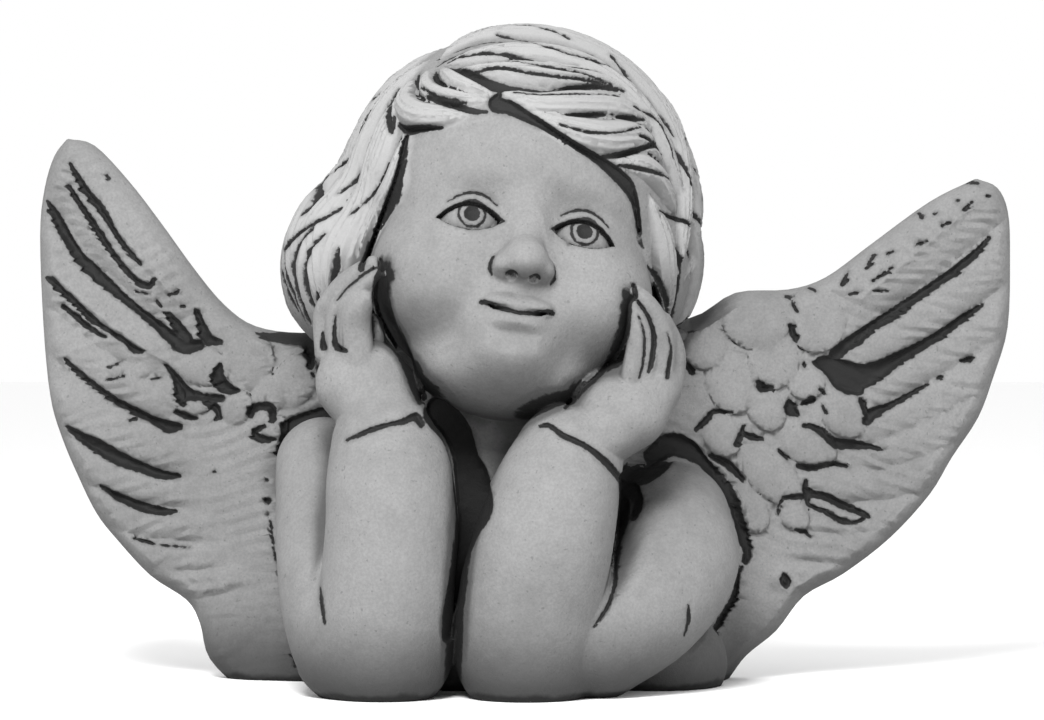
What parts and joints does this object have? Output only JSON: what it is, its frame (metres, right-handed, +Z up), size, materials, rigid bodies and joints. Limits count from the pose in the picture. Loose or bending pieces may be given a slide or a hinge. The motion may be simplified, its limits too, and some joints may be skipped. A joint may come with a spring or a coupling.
{
  "type": "angel garden statue",
  "caption": "Cast stone bust of a winged cherub looking up with its chin in its hands, elbows on the ground, on a flat underside.",
  "frame": {"origin": "the middle of the statue's width and depth, at ground level", "axes": "+X across the wings to the right of someone facing the statue, -Y the way the face and both arms point, +Z up"},
  "size_m": [0.438, 0.1879, 0.292],
  "materials": {
    "cast_stone": "matte"
  },
  "bodies": {
    "root": {"angel_statue": "cast_stone"}
  },
  "joints": []
}
